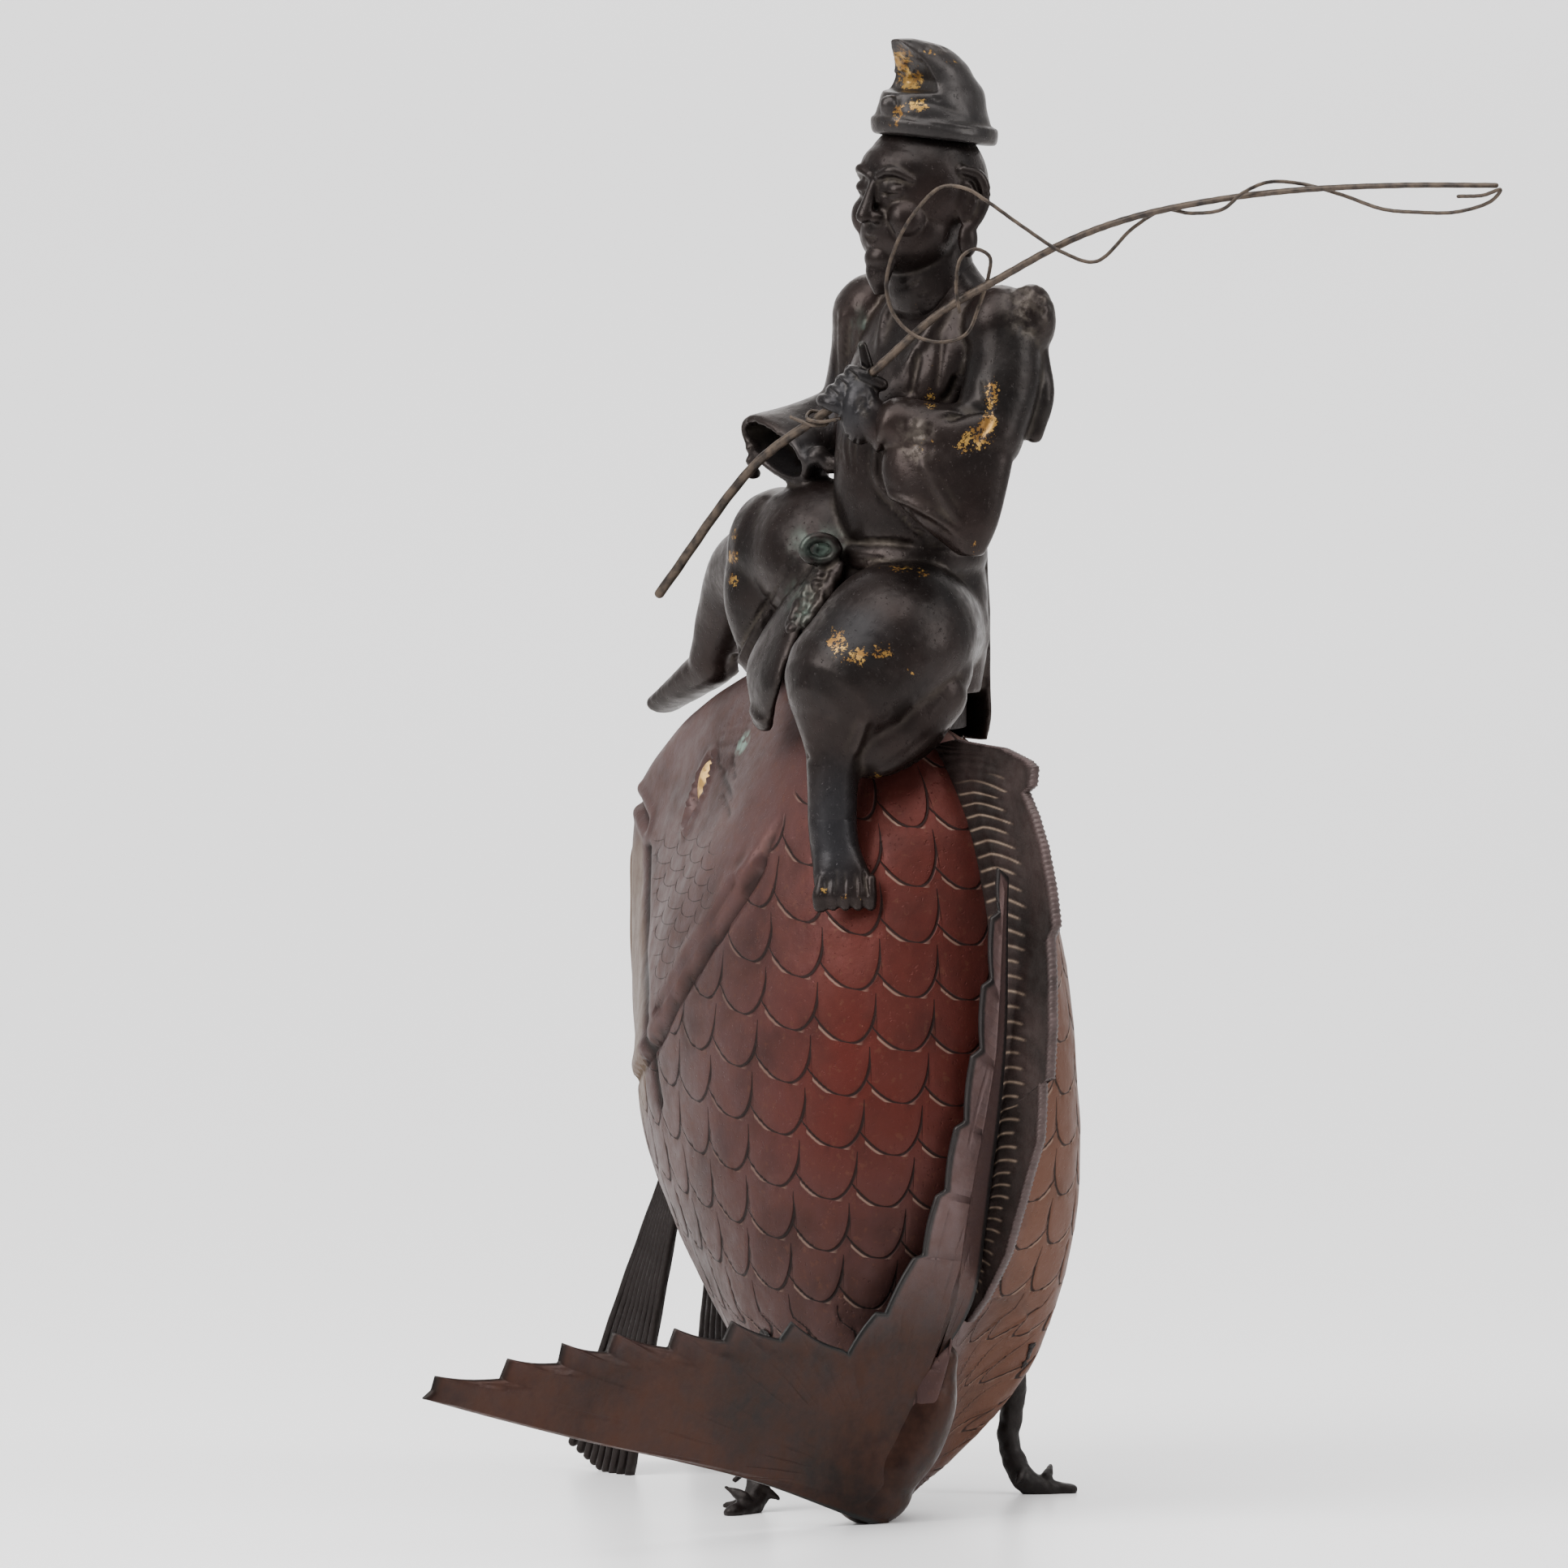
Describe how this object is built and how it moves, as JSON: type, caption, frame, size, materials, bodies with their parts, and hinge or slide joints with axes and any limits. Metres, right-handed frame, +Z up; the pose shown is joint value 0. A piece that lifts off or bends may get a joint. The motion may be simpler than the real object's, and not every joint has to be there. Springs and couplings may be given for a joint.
{
  "type": "fisherman incense burner",
  "caption": "Bronze incense burner: a hollow standing fish rests on its tail and fins, and a seated fisherman with a rod is its lid.",
  "frame": {"origin": "middle of the flat spot under the tail root, on the ground", "axes": "+Z up; -Y to the fish's head, +Y to its back; +X to the fish's left"},
  "size_m": [0.309, 0.358, 0.4535],
  "materials": {
    "fish_bronze": "satin red-brown patina",
    "figure_bronze": "satin near-black patina with worn gilding",
    "dark_bronze": "dull near-black patina",
    "wire_metal": "dull brown wire and rod"
  },
  "bodies": {
    "root": {"fish_burner": "fish_bronze", "fisherman_lid": "figure_bronze", "fishing_rod": "wire_metal", "fishing_line": "wire_metal", "line_tie": "wire_metal", "rear_support_left": "dark_bronze", "rear_support_right": "dark_bronze"}
  },
  "joints": []
}
